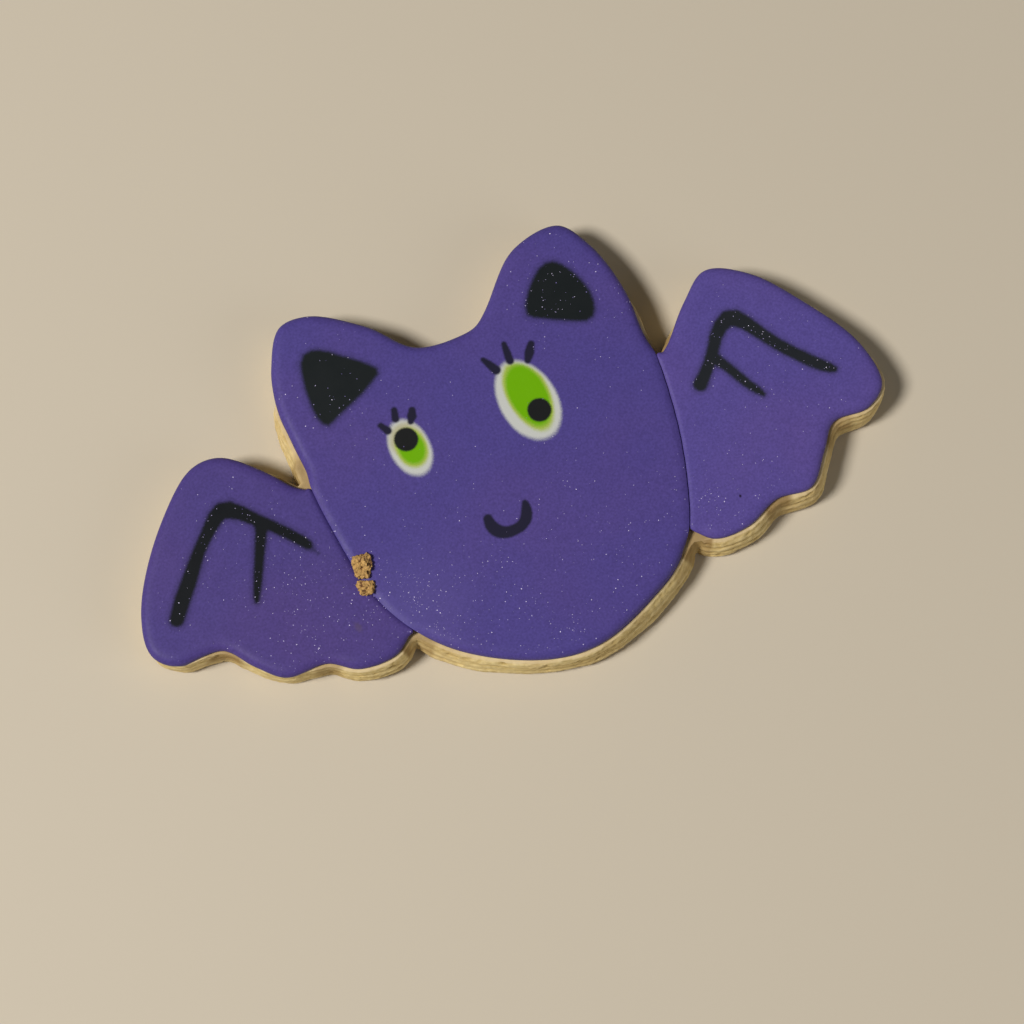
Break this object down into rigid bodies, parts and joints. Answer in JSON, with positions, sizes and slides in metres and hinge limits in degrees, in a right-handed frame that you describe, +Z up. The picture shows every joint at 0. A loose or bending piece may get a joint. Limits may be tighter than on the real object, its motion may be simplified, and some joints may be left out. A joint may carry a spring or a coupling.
{
  "type": "iced sugar cookie",
  "caption": "Iced sugar cookie in the shape of a smiling bat: smooth purple icing over the head and wings of a thick pale baked base that lies flat.",
  "frame": {"origin": "middle of the cookie's box, on its flat underside", "axes": "+X towards the wing on the viewer's right, +Y towards the ears, +Z up through the icing"},
  "size_m": [0.1404, 0.0772, 0.0093],
  "materials": {
    "baked_dough": "matt, crumbly at the sides",
    "purple_icing": "smooth, dry, soft satin"
  },
  "bodies": {
    "root": {"cookie_base": "baked_dough", "icing_head": "purple_icing", "icing_wing_left": "purple_icing", "icing_wing_right": "purple_icing"}
  },
  "joints": []
}
